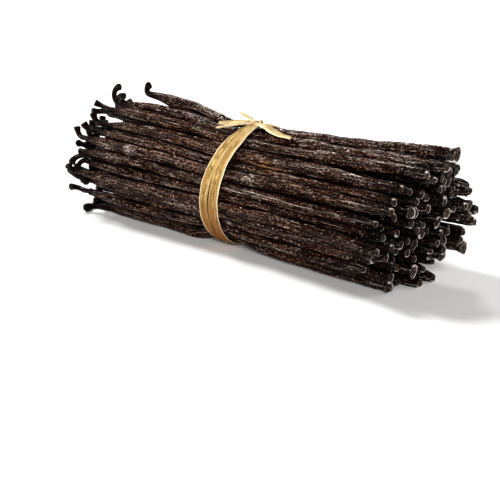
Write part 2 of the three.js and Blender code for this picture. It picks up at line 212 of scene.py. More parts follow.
# ---- how the pods lie ----
bundle = {  # the same named values as the solids have
    "podCount": 100, "goldenAngle": 2.399963, "bodyRadius": 2.54, "radiusSpread": 0.4,
    "tipX": 88.5, "tipSlant": 1.0, "tipRise": 5.0, "tipSpread": 4.4, "frontDrop": 5.0, "lowDrop": 6.0,
    "dropFrom": 0.1, "riseFrom": 0.15, "riseOver": 0.7,
    "backReach": {"by": 4.0, "from": 0.4, "low": 0.1, "over": 0.5},
    "neckX": -86.0, "neckSpread": 5.0, "neckRise": 9.0, "neckStart": 0.12, "belly": 0.07,
    "tipTaperLength": 20, "tipTaper": 0.08, "neckTaperLength": 19, "neckTaper": 0.5,
    "waistX": -4.2, "waistY": 25.3, "waistZ": 25.0, "waistReach": 15, "lift": 2.3,
    "flare": {"wide": 1.6, "up": 2.4, "down": 4.0},
    "tipFlare": {"wide": 2.2, "up": 1.0, "power": 1.3},
    "stemFlare": {"wide": -1.0, "up": 2.8, "power": 1.4},
    "swell": {"size": 4.5, "x": -40, "reach": 27},
    "footX": -8, "footHalf": 9, "footEase": 14, "flatCut": 0.45,
    "stationCount": 15, "stationEnd": 84,
    "rounds": 200, "squeeze": 0.90, "homeInset": 2.2, "wander": 1.3, "waveY": 24, "waveZ": 27,
    "stray": 3.2, "strayFrom": 0.72, "strayReach": 0.85, "strayLow": -0.5, "strayPower": 1.6,
    "strayRoom": 25, "looseOver": 55,
    "push": 0.42, "smooth": 0.25, "home": 0.03, "floor": 0.35,
    "lowPod": 0.76, "lowOver": 0.1, "floorRest": 0.9, "floorSink": 0.88,
    "middle": (-3.53, 1.9), "outerShare": 0.868,
    "stems": {"lookBack": 8, "fan": 2.6, "lowest": -0.35, "stalk": (2, 5), "turn": (35, 165),
              "turnPower": 0.8, "curl": (2.6, 2.2), "gentle": 1.4, "gentleCurl": 1.4},
    "notable": {  # pods that stand out at the stem end
        40: {"shorter": -8, "turn": 60},
        61: {"shorter": -6, "turn": 70},
        66: {"turn": 50},
        69: {"shorter": 4, "turn": 70},
        72: {"turn": 120, "heading": 255, "curl": 4.6, "stalk": 4},
        74: {"shorter": 3, "turn": 60},
        77: {"shorter": 3, "turn": 60},
        79: {"shorter": 4, "turn": 60},
        82: {"shorter": 2, "turn": 60},
        85: {"turn": 25},
        87: {"shorter": 6, "off": 6, "turn": 160, "heading": 80, "curl": 2.0, "stalk": 3},
        90: {"turn": 80, "heading": 95, "stalk": 5.5, "curl": 4.5},
        95: {"shorter": 1, "off": 0, "turn": 170, "heading": 84, "curl": 4.2, "stalk": 3},
        98: {"shorter": 3, "turn": 85, "heading": 90, "stalk": 4, "curl": 4.5},
    },
}

podIndex = np.arange(bundle["podCount"])
podReach = np.sqrt((podIndex + 0.5) / bundle["podCount"])
podAngle = podIndex * bundle["goldenAngle"]
podY, podZ = podReach * np.cos(podAngle), podReach * np.sin(podAngle)
podGirth = bundle["bodyRadius"] + bundle["radiusSpread"] * (chance(podIndex, 1) * 2 - 1)
centreZ = bundle["waistZ"] + bundle["lift"]


def own(key, usual):  # a notable pod's own value, or the usual one
    values = np.array(usual, float) * np.ones(bundle["podCount"])
    for pod, facts in bundle["notable"].items():
        values[pod] = facts.get(key, values[pod])
    return values


podNeck = (bundle["neckX"] + bundle["neckSpread"] * (chance(podIndex, 2) * 2 - 1)
           + bundle["neckRise"] * ease((podZ - bundle["riseFrom"]) / bundle["riseOver"])
           + own("shorter", 0))
backReach = bundle["backReach"]
podTip = (bundle["tipX"] + bundle["tipSlant"] * podY + bundle["tipRise"] * podZ
          - bundle["frontDrop"] * ease((-podY - bundle["dropFrom"]) / bundle["riseOver"])
          - bundle["lowDrop"] * ease((-podZ - bundle["dropFrom"]) / bundle["riseOver"]) * (1 - podY) / 2
          + backReach["by"] * ease((podY - backReach["from"]) / backReach["over"])
          * ease((backReach["low"] - podZ) / backReach["over"])
          + bundle["tipSpread"] * (chance(podIndex, 3) * 2 - 1))


def podRadius(x, pod):  # thin at the neck, even along the body, a little slimmer at the tip
    share = (x - podNeck[pod]) / (podTip[pod] - podNeck[pod])
    risen = ease((x - podNeck[pod]) / bundle["neckTaperLength"] + bundle["neckStart"])
    grow = 1 - bundle["neckTaper"] + bundle["neckTaper"] * risen
    close = 1 - bundle["tipTaper"] * ease((x - podTip[pod]) / bundle["tipTaperLength"] + 1)
    full = 1 - bundle["belly"] + bundle["belly"] * np.sin(np.pi * np.clip(share, 0, 1))
    return podGirth[pod] * grow * close * full


def endShares(x):  # how far x is towards the stems and towards the tips, each from 0 to 1
    return np.clip(-x / bundle["stationEnd"], 0, 1), np.clip(x / bundle["stationEnd"], 0, 1)


def outlineAt(x):
    # half the bundle's width at x and its reach up and down from the middle: the waist's, plus a
    # bulge on either side of the tie, a flare at each end and a swell on top towards the stems
    left, right = endShares(x)
    bulge = 1 - np.exp(-((x - bundle["waistX"]) / bundle["waistReach"]) ** 4)
    flare, tipFlare, stemFlare, swell = (bundle[k] for k in ("flare", "tipFlare", "stemFlare", "swell"))
    atTips = right ** tipFlare["power"]
    wide = bundle["waistY"] + flare["wide"] * bulge + tipFlare["wide"] * atTips + stemFlare["wide"] * left
    up = (bundle["waistZ"] + flare["up"] * bulge + tipFlare["up"] * atTips
          + stemFlare["up"] * left ** stemFlare["power"]
          + swell["size"] * bulge * np.exp(-((x - swell["x"]) / swell["reach"]) ** 2))
    return wide, up, bundle["waistZ"] + flare["down"] * bulge


def podHomes(x, wide, up, down):
    # where each pod would lie by its place in the spiral, swaying away from the tie, and how far
    # the few that stray stand off at either end
    left, right = endShares(x)
    loose = np.clip((np.abs(x - bundle["waistX"]) - bundle["footHalf"]) / bundle["looseOver"], 0, 1)
    canStray = (podReach > bundle["strayReach"]) & (podZ > bundle["strayLow"])
    strays = [np.where((chance(podIndex, k) > bundle["strayFrom"]) & canStray, bundle["stray"], 0)
              for k in (7, 8)]
    off = own("off", strays[0]) * left ** bundle["strayPower"] + strays[1] * right ** bundle["strayPower"]
    tall = np.where(podZ > 0, up, down)
    phase = [chance(podIndex, 5) * tau, chance(podIndex, 6) * tau]
    sway = [bundle["wander"] * loose * np.sin(x / bundle[wave] + phase[k]) + off * outwards
            for k, (wave, outwards) in enumerate((("waveY", podY), ("waveZ", podZ)))]
    home = np.stack([podY * (wide - bundle["homeInset"]) + sway[0],
                     centreZ + podZ * (tall - bundle["homeInset"]) + sway[1]], -1)
    return home, off


def settlePods():
    # pods push apart at every station, stay smooth along X, and keep inside an oval outline
    x = np.linspace(-bundle["stationEnd"], bundle["stationEnd"], bundle["stationCount"])[:, None]
    wide, up, down = outlineAt(x)
    home, off = podHomes(x, wide, up, down)
    radius = podRadius(x, podIndex)
    floorPull = np.clip((np.abs(x - bundle["footX"]) - bundle["footHalf"]) / bundle["footEase"], 0, 1)
    low = np.clip((-podZ - bundle["lowPod"]) / bundle["lowOver"], 0, 1) * floorPull
    reach = bundle["squeeze"] * (radius[:, :, None] + radius[:, None, :])
    reach[:, podIndex, podIndex] = -1

    def outlined(spot):  # each pod's height over the middle, and its share of the way to the outline
        rise = spot[..., 1] - centreZ
        room = np.where(rise > 0, up, down)
        return rise, np.hypot(spot[..., 0] / (wide - radius), rise / (room - radius))

    spot = home.copy()
    for _ in range(bundle["rounds"]):
        apart = spot[:, :, None] - spot[:, None]
        gap = np.sqrt((apart ** 2).sum(-1)) + 1e-9
        push = np.clip(reach - gap, 0, None) / gap
        spot = spot + bundle["push"] * (apart * push[..., None]).sum(2)
        bend = np.zeros_like(spot)
        bend[1:-1] = 0.5 * (spot[:-2] + spot[2:]) - spot[1:-1]
        spot = spot + bundle["smooth"] * bend + bundle["home"] * (home - spot)
        spot[..., 1] += bundle["floor"] * low * (radius * bundle["floorRest"] - spot[..., 1])
        rise, out = outlined(spot)
        limit = 1 + off / bundle["strayRoom"]
        pull = np.where(out > limit, limit / out, 1)
        spot = np.stack([spot[..., 0] * pull,
                         np.maximum(centreZ + rise * pull, radius * bundle["floorSink"])], -1)
    return spot, outlined(spot)[1].max(0) > bundle["outerShare"]


podSpots, podOuter = settlePods()
print("pods settled:", int(podOuter.sum()), "outer,", int((~podOuter).sum()), "inner")


def lineAt(x, pod):
    # a pod's middle at x: a smooth cubic through its stations, straight past the last of them
    last = bundle["stationCount"] - 1
    t = (x + bundle["stationEnd"]) * last / (2 * bundle["stationEnd"])
    j = np.floor(np.clip(t, 0, last - 0.001)).astype(int)
    start, end = 0 * j, 0 * j + last

    def spotAt(n):
        return podSpots[np.clip(n, 0, last), pod]

    inside = cubic(spotAt(j - 1), spotAt(j), spotAt(j + 1), spotAt(j + 2), (t - j)[..., None])
    before = spotAt(start) + (spotAt(start + 1) - spotAt(start)) * t[..., None]
    after = spotAt(end) + (spotAt(end) - spotAt(end - 1)) * (t - last)[..., None]
    return np.where((t < 0)[..., None], before, np.where((t > last)[..., None], after, inside))


# ---- pods ----
podForm = {
    "girths": ("slenderPods", "slimPods", "plumpPods", "stoutPods"),  # the outer pods, thinnest first
    "outerAround": 52, "innerAround": 18, "outerRings": 118, "innerRings": 34, "stemRings": 28,
    "endReach": 24, "endRings": 10,  # inner pods have close rings for this far at each end
    "tipRings": (0.30, 0.75, 1.3, 2.0, 2.9, 4.0, 5.4, 7.0, 9.0),  # from the tip, in mm
    # the rings that close each end: their share of the last ring and how deep they are sunk
    "capFrom": 0.30, "stemPole": 0.32, "tipPole": 0.34,
    "tipCap": ((0.92, 0.02), (0.80, 0.0), (0.66, 0.07), (0.48, 0.20), (0.28, 0.28), (0.12, 0.30)),
    "stemCap": ((0.86, 0.08), (0.55, 0.0)),
    # the pale edge of tipShine is a painted highlight on each tip's rim
    "tipShine": (1, 0.9, 0.2, -0.7, -1, -1),  # the rim's pale edge, and below 0 the dark hollow
    "rimHighlightArc": {"spread": 2.6, "turn": 0.2, "from": 0.3, "vary": 0.9, "over": 0.35, "least": 0.24},
    "kink": {"size": 0.20, "clear": 6, "over": 20, "waves": ((5.1, 13), (5.9, 11))},
    "fold": {"size": 0.32, "long": 26, "power": 0.8, "least": 7, "more": 4},
    "wrinkle": {"size": 0.30, "long": 16, "power": 0.7, "sway": 0.02, "swayLong": 3},
    "swell": {"least": 0.7, "more": 0.3, "long": 17},
    "warp": {"once": 0.3, "onceLong": 15, "twice": 0.18, "twiceLong": 9},
    "seam": {"deep": 0.45, "half": 0.16, "without": 0.45, "least": 0.6, "more": 0.4, "long": 23},
    "oval": {"size": 0.07, "long": 40},
    "lump": {"size": 0.03, "long": 4.3, "sway": 1.3, "swayLong": 9},
    "calm": {"thin": 0.6, "over": 1.4, "tipLong": 3, "tipStart": 0.3},
    "flared": {"from": 0.78, "size": 0.24, "reach": 1.1, "pinch": 0.16, "pinchAt": 3.2, "pinchReach": 1.7},
    "rounded": {"size": 0.28, "reach": 2.0},
    "corners": {"size": 0.10, "second": 0.7, "reach": 5},
    # the last two say how close a neighbour presses before the painted shade in the gaps begins, and over
    # what
    "press": {"power": 16, "least": 0.4, "within": 9, "pastTip": 0.3, "gapShadeFrom": 0.72, "gapShadeOver": 0.26},
    "stalk": {"radius": 1.25, "narrow": 2.4, "knob": 0.32, "knobFrom": 0.74, "knobOver": 0.24,
              "oval": 0.06, "ovalTurn": 2.0, "relief": 0.18, "reliefMore": 0.5, "thin": 1.3, "thick": 1.5},
    "stemWave": {"size": 0.35, "long": 2.6, "from": 5},
    # how the surface's own values are measured: the skin's radius unrolled, a shift for each pod,
    # the relief that counts as 1, and how far the stem's tone, the tip's painted shade and the rim's
    # painted highlight reach
    "skinRadius": 2.8, "skinShift": (37.0, 11.0, 53.0), "ridgeFull": 0.30,
    "stemTone": {"before": 2, "over": 9}, "tipShadeReach": 12.0, "rimHighlightReach": 0.5,
}


def lattice(u, v, cells, k):
    # smooth noise from -1 to 1: draws at whole places, cells of them round the pod, eased together
    i, j = np.floor(u * cells), np.floor(v)
    fu, fv = ease(u * cells - i), ease(v - j)

    def draw(a, b):
        return chance(a % cells + 57.0 * b, k)

    low = draw(i, j) * (1 - fu) + draw(i + 1, j) * fu
    high = draw(i, j + 1) * (1 - fu) + draw(i + 1, j + 1) * fu
    return 2 * (low * (1 - fv) + high * fv) - 1


def stemPath(pod):
    # from the neck a straight stalk, then an arc whose heading turns evenly, in (pods, rings, 3)
    neck, form, wave = podNeck[pod], bundle["stems"], podForm["stemWave"]
    base = np.concatenate([neck[:, None], lineAt(neck, pod)], 1)
    within = neck + form["lookBack"]
    inner = np.concatenate([within[:, None], lineAt(within, pod)], 1)
    back = unit(base - inner)
    heading = np.arctan2(podZ[pod], podY[pod]) + (chance(pod, 10) - 0.5) * form["fan"]
    heading = np.where((podZ[pod] < form["lowest"]) & (np.sin(heading) < 0), -heading, heading)
    ownHeading = own("heading", -1)[pod]
    heading = np.where(ownHeading > 0, np.radians(ownHeading), heading)
    bend = squared(np.stack([0 * heading, np.cos(heading), np.sin(heading)], 1), back)

    def draw(key, k, power=1.0):
        return own(key, form[key][0] + form[key][1] * chance(podIndex, k) ** power)[pod]

    stalk, curl = draw("stalk", 11), draw("curl", 13)
    turn = np.radians(draw("turn", 12, form["turnPower"]))
    curl = np.where((own("curl", -1)[pod] < 0) & (turn < form["gentle"]), curl * form["gentleCurl"], curl)
    rings = podForm["stemRings"]
    run = np.linspace(0, 1, rings + 1)[1:] * (stalk + curl * turn)[:, None]
    straight = np.minimum(run, stalk[:, None])
    turned = np.clip(run - stalk[:, None], 0, None) / curl[:, None]
    path = (base[:, None] + back[:, None] * (straight + curl[:, None] * np.sin(turned))[..., None]
            + bend[:, None] * (curl[:, None] * (1 - np.cos(turned)))[..., None])
    side = np.cross(back, bend)
    phase = (chance(pod, 14) * tau)[:, None]
    sway = wave["size"] * np.sin(run / wave["long"] + phase) * ease(run / wave["from"])
    return path + side[:, None] * sway[..., None], run


def podPath(pod, rings, dense):
    # from the curled stem's end along the pod's middle to its tip, a little wavy away from the tie
    neck, tip = podNeck[pod], podTip[pod]
    near = np.array(podForm["tipRings"])
    whole = (tip - neck)[:, None]
    if dense:
        away = near[-1] + np.linspace(0, 1, rings)[1:] * (whole - near[-1])
    else:  # inner pods show only at their ends
        reach, ends = podForm["endReach"], podForm["endRings"]
        start = near[-1] + reach
        away = np.concatenate([near[-1] + np.linspace(0, reach, ends + 1)[1:] + 0 * whole,
                               start + np.linspace(0, 1, rings - 2 * ends + 1)[1:-1] * (
                                   whole - (start + reach)),
                               whole - reach + np.linspace(0, reach, ends)], 1)
    away = np.concatenate([near + 0 * whole, away], 1)
    x = (tip[:, None] - away)[:, ::-1]
    body = np.concatenate([x[..., None], lineAt(x, pod[:, None])], -1)
    kink = podForm["kink"]
    phase = [chance(pod, 30 + k)[:, None] * tau for k in range(4)]
    size = ease((np.abs(x - bundle["waistX"]) - kink["clear"]) / kink["over"]) * kink["size"]
    for k, (short, long) in enumerate(kink["waves"]):
        body[..., 1 + k] += size * np.sin(x / short + phase[k] + np.sin(x / long + phase[2 + k]))
    stem, run = stemPath(pod)
    path = np.concatenate([stem[:, ::-1], body], 1)
    # each ring but the ends moves halfway to the mean of its neighbours
    path[:, 1:-1] = 0.5 * path[:, 1:-1] + 0.25 * (path[:, :-2] + path[:, 2:])
    return path, run


def podFolds(pod, s, angle):
    # leathery relief in mm: the size of smooth noise drawn out lengthwise, so folds are round
    # and the grooves between them sharp, less one deep seam down about half of the pods
    turn = [(chance(pod, 40 + k) * tau)[:, None, None] for k in range(12)]
    key = 100.0 + pod[:, None, None]
    fold, wrinkle, swell, warp = (podForm[k] for k in ("fold", "wrinkle", "swell", "warp"))
    seam, oval, lump = (podForm[k] for k in ("seam", "oval", "lump"))
    warped = (angle + warp["once"] * np.sin(angle + s / warp["onceLong"] + turn[0])
              + warp["twice"] * np.sin(2 * angle - s / warp["twiceLong"] + turn[1]))
    place = warped / tau
    many = (fold["least"] + np.floor(chance(pod, 60) * fold["more"]))[:, None, None]
    folds = 2 * np.abs(lattice(place, s / fold["long"], many, key)) ** fold["power"] - 1
    place = place + wrinkle["sway"] * np.sin(s / wrinkle["swayLong"])
    fine = lattice(place, s / wrinkle["long"], 2 * many - 1, key + 0.5)
    wrinkles = 1 - 2 * np.abs(fine) ** wrinkle["power"]
    swollen = swell["least"] + swell["more"] * np.sin(s / swell["long"] + angle + turn[6])
    relief = fold["size"] * folds * swollen + wrinkle["size"] * wrinkles
    beside = np.angle(np.exp(1j * (warped - turn[7])))
    deep = ((chance(pod, 62) > seam["without"])[:, None, None] * seam["deep"]
            * (seam["least"] + seam["more"] * np.sin(s / seam["long"] + turn[8])))
    sway = lump["sway"] * np.sin(s / lump["swayLong"] + turn[11])
    form = (1 + oval["size"] * np.cos(2 * angle - s / oval["long"] + turn[9])
            + lump["size"] * np.sin(s / lump["long"] + turn[10] + sway + angle))
    return relief - deep * np.exp(-(beside / seam["half"]) ** 2), form


def freeRadius(one, fromTip, bare, angle, form, relief):
    # a pod's radius where nothing presses it: the bare one times its form, plus the relief, which
    # calms where the pod is thin and at its tip, and with soft corners near the tip
    calm, corners = podForm["calm"], podForm["corners"]
    free = (bare[:, None] * form + relief * ease((bare[:, None] - calm["thin"]) / calm["over"])
            * ease(fromTip / calm["tipLong"] + calm["tipStart"])[:, None])
    cornered = corners["size"] * (np.cos(3 * angle + tau * chance(one, 64))
                                  + corners["second"] * np.cos(2 * angle + tau * chance(one, 65)))
    return free * (1 + cornered * np.exp(-fromTip / corners["reach"])[:, None])


def pressedRadius(one, path, angle, form, relief):
    # a free pod's radius, made flat where a neighbour or the floor stands nearer: a soft minimum,
    # which is the sum of each limit to a high negative power, brought back by the inverse power
    x, middle = path[:, 0], path[:, 1:]
    fromTip = podTip[one] - x
    flared, rounded, press = (podForm[k] for k in ("flared", "rounded", "press"))
    if chance(one, 63) > flared["from"]:
        end = (flared["size"] * np.exp(-(fromTip / flared["reach"]) ** 2)
               - flared["pinch"] * np.exp(-((fromTip - flared["pinchAt"]) / flared["pinchReach"]) ** 2))
    else:
        end = -rounded["size"] * np.exp(-(fromTip / rounded["reach"]) ** 2)
    bare = podRadius(x, one) * (1 + end)
    free = freeRadius(one, fromTip, bare, angle, form, relief)
    others = np.flatnonzero(podIndex != one)
    away = lineAt(x[:, None], others[None]) - middle[:, None]
    far = np.sqrt((away ** 2).sum(-1)) + 1e-9
    theirs = podRadius(x[:, None], others[None])
    plane = np.maximum((far ** 2 + bare[:, None] ** 2 - theirs ** 2) / (2 * far), press["least"])
    there = ((x[:, None] < podTip[others] + press["pastTip"]) & (x[:, None] > podNeck[others])
             & (far < press["within"]))
    n = np.stack([np.cos(angle), np.sin(angle)])
    power = press["power"]
    facing = np.clip((away / far[..., None]) @ n, 0, None) * there[..., None] / plane[..., None]
    floor = np.clip(-n[1], 0, None) / np.maximum(middle[:, 1:] - bundle["flatCut"], press["least"])
    pressed = ((facing ** power).sum(1) + floor ** power + (1 / free) ** power) ** (-1 / power)
    # the second value is painted shade: how hard a neighbour presses here, for darkening the skin in the
    # gaps between pods
    return pressed, ease((facing.max(1) * bare[:, None] - press["gapShadeFrom"]) / press["gapShadeOver"])


def stalkRadius(pod, share, angle, relief):
    # a stem narrows into its stalk, which thickens again to a blunt end
    form = podForm["stalk"]
    thick = podRadius(podNeck[pod], pod)[:, None]
    stalk = (thick + (form["radius"] - thick) * ease(share * form["narrow"]))[..., None]
    knob = 1 + form["knob"] * ease((share[..., None] - form["knobFrom"]) / form["knobOver"])
    oval = 1 + form["oval"] * np.cos(2 * angle + form["ovalTurn"] * pod[:, None, None])
    folded = form["relief"] + form["reliefMore"] * ease((stalk - form["thin"]) / form["thick"])
    return stalk * knob * oval + relief * folded


def podSurface(pod, around, bodyRings, dense):
    # a pod is a ring of changing radius carried from its curled stem to its blunt tip
    path, run = podPath(pod, bodyRings, dense)
    along, side, up = framesAlong(path, np.array([0.0, 1.0, 0.0]))
    rings, stems = path.shape[1], run.shape[1]
    steps = np.linalg.norm(np.diff(path, axis=1), axis=2)
    s = np.concatenate([0 * steps[:, :1], np.cumsum(steps, 1)], 1)[..., None]
    angle = (np.arange(around) / around * tau)[None, None]
    relief, form = podFolds(pod, s, angle)
    # gap holds how hard neighbours press, which the skin darkens as painted shade
    radius, gap = np.zeros((2, len(pod), rings, around))
    for row, one in enumerate(pod):
        radius[row, stems:], gap[row, stems:] = pressedRadius(
            one, path[row, stems:], angle[0, 0], form[row, stems:], relief[row, stems:])
    radius[:, :stems] = stalkRadius(pod, run[:, ::-1] / run[:, -1:], angle, relief[:, :stems])
    # where the stem meets the body, two rings take the mean of themselves and their neighbours
    radius[:, stems - 1] = radius[:, stems - 2:stems + 1].mean(1)
    radius[:, stems] = radius[:, stems - 1:stems + 2].mean(1)
    wall = carried(path, side, up, radius * np.cos(angle), radius * np.sin(angle))

    # the ends: rings drawn in towards the axis, the tip's own sunk inside its rim
    ends = []
    for cap, ring, out in (("stemCap", 0, -1), ("tipCap", -1, 1)):
        middle, face = path[:, ring, None], out * along[:, ring, None]
        ends.append([middle + (wall[:, ring] - middle) * r + face * (podForm["capFrom"] - d)
                     for r, d in podForm[cap]])
    pole = np.stack([path[:, 0] - along[:, 0] * podForm["stemPole"],
                     path[:, -1] - along[:, -1] * podForm["tipPole"]], 1)
    wall = np.concatenate([np.stack(ends[0][::-1], 1), wall, np.stack(ends[1], 1)], 1)
    points = np.concatenate([wall.reshape(len(pod), -1, 3), pole], 1).reshape(-1, 3)
    quads, fans = ringFaces(len(pod), wall.shape[1], around, False)
    return points, quads, fans, podValues(pod, s, angle, relief, gap, run[:, -1])


def podValues(pod, s, angle, relief, gap, stemLong):
    # what the skin's material reads at each point: the unrolled skin, ridges, gaps for painted shade,
    # stem, tip for painted shade, rim for a painted highlight
    stemShrink, tipShrink = (np.array([r for r, d in podForm[cap]])[None, :, None]
                             for cap in ("stemCap", "tipCap"))
    stemShrink = stemShrink[:, ::-1]
    rings, around = relief.shape[1:]

    def padded(a, low=0.0, high=0.0):  # a value over the wall, carried on to the ends and poles
        lot = [np.broadcast_to(v, (len(pod), n, around)).reshape(len(pod), -1)
               for v, n in zip((low, a, high), (stemShrink.shape[1], rings, tipShrink.shape[1]))]
        return np.concatenate(lot + [lot[0][:, :1], lot[2][:, -1:]], 1).ravel()

    wrapped = [podForm["skinRadius"] * np.cos(angle), podForm["skinRadius"] * np.sin(angle)]
    grain = np.stack([padded(w, w * stemShrink, w * tipShrink) for w in wrapped]
                     + [padded(s, 0, s[:, -1:] + 1 - tipShrink)], 1)
    lot = len(grain) // len(pod)
    # the rim's painted highlight lies along one arc of it, mostly on the side away from the front
    arc, tone = podForm["rimHighlightArc"], podForm["stemTone"]
    arcAt = (arc["spread"] * (chance(pod, 66) - 0.5) - arc["turn"])[:, None, None]
    arcFrom = (arc["from"] - arc["vary"] * chance(pod, 67))[:, None, None]
    glint = arc["least"] + (1 - arc["least"]) * ease((np.cos(angle - arcAt) - arcFrom) / arc["over"])
    shine = np.array(podForm["tipShine"])[None, :, None]
    fromTip = s[:, -1:] - s
    pastStem = s - (stemLong - tone["before"])[:, None, None]
    return {
        "grain": grain + np.repeat(pod[:, None] * np.array(podForm["skinShift"]), lot, 0),
        "ridge": padded(relief / podForm["ridgeFull"]),
        # gap: painted shade where neighbouring pods press close
        "gap": padded(gap),
        "stem": padded(1 - ease(pastStem / tone["over"]), 1, 0),
        # tip: painted shade, darker towards each tip, partly the tips' own darker skin
        "tip": padded(np.exp(-(fromTip / podForm["tipShadeReach"]) ** 2)),
        # rim: a painted highlight on an arc of each tip's rim; below 0 it marks the hollow
        "rimHighlight": padded(np.exp(-(fromTip / podForm["rimHighlightReach"]) ** 2) * glint, 0,
                      np.where(shine > 0, shine * glint, shine)),
        "shade": np.repeat(chance(pod, 70), lot),
    }


podSkin = {
    # the gaps' tone is painted shade, the crest, amber and rim tones are painted highlight and sheen, and
    # the frost tone also paints glints
    "tones": {  # darkest first, then those of the stems, the frost and the tips' rims and hollows
        "gap": (0.0060, 0.0008, 0.0003), "grooveShade": (0.0105, 0.0016, 0.0007),
        "skin": (0.0185, 0.0040, 0.0023), "red": (0.070, 0.0185, 0.0078),
        "amber": (0.36, 0.180, 0.088), "crestHighlight": (0.34, 0.230, 0.178),
        "stem": (0.0042, 0.0030, 0.0026), "frostAndGlints": (0.62, 0.56, 0.50),
        "rimHighlight": (0.86, 0.80, 0.75), "hollow": (0.042, 0.034, 0.030),
    },
    # noise over the unrolled skin: its stretch, then its scale, detail, roughness and warp
    "patterns": {
        "streak": ((1, 1, 0.05), 0.85, 3, 0.6, 0.3), "thread": ((1, 1, 0.07), 2.1, 1, 0.5),
        "pebble": ((1, 1, 0.55), 1.5, 2, 0.6), "patch": ((0.5, 0.5, 0.16), 0.45, 2, 0.5),
        "powder": ((1, 1, 0.7), 1.2, 3, 0.7), "line": ((1, 1, 0.014), 1.5, 1, 0.5),
        "speck": ((1, 1, 0.35), 1.25, 1, 0.5), "fleck": ((1, 1, 0.8), 2.1, 1, 0.5),
    },
    "cloudy": (0.07, 2, 0.5),  # noise through the whole bundle, where the frost is thicker
    # where sugar frost lies thickest and where an amber sheen is painted on the crests, in mm, and how far
    # each goes
    "frosted": ((-47.0, -15.5, 48.0), (-50.4, -26.2, 39.2), (21.5, -26.3, 38.7)),
    "frostReach": (7, 4, 4),
    "amberSheenSpots": ((-29.5, -14.2, 48.5), (-19.2, -20.3, 44.4), (18.5, -21.0, 44.1), (27.8, -22.0, 42.9),
                (85.6, -25.0, 41.4)),
    "amberSheenReach": (13, 3.5, 3.5),
    # how strongly each shapes what counts as a crest, which gets a painted highlight, and as a groove,
    # partly painted shade, and how much a pod's own shade warms it
    "ridge": 0.35, "streak": 1.7, "thread": 4.0, "pebble": 3.2, "shade": 0.26,
    # from where to where each mask rises
    "spans": {
        "skin": (-0.30, 0.30), "warm": (0.46, 0.72), "crestHighlight": (0.18, 0.62), "crestGrit": (0.495, 0.59),
        "amber": (-0.1, 0.5), "amberSheenGrit": (0.36, 0.54), "rimHighlight": (0.15, 0.85), "rimGrit": (0.30, 0.46),
        "hollow": (0.1, 0.9), "cloudy": (0.54, 0.70), "powder": (0.54, 0.64), "line": (0.62, 0.69),
        "lineThread": (0.38, 0.52), "speck": (0.68, 0.74), "fleck": (0.70, 0.75), "gloss": (-0.3, 0.7),
    },
    # how far each tone covers the ones under it
    "cover": {"red": 0.95, "gap": 0.93, "stem": 0.85, "tip": 0.92, "rimLeast": 0.12, "powder": 0.75,
              "speck": 0.75, "fleck": 0.80, "line": 0.50},
    "thicker": 0.07, "thickest": 1.1,  # how much the frosted spots spread and strengthen the powder
    "rough": {"skin": 0.25, "patch": 0.24, "crestHighlight": 0.16, "frostAndGlints": 0.2, "gap": 0.3, "tip": 0.08},
    "relief": {"streak": 0.50, "thread": 0.60, "pebble": 0.80, "depth": 1.6},
    "shine": {"Specular IOR Level": 0.29, "Specular Tint": (0.96, 0.72, 0.60, 1)},
}


def tinted(look):  # each tone of a look with the alpha that a colour socket wants
    return {key: (*rgb, 1) for key, rgb in look["tones"].items()}


def patterned(grain, look):  # each of a look's patterns, on its own stretch of the grain
    return (grain.scaled(stretch).noise(*numbers) for stretch, *numbers in look["patterns"].values())


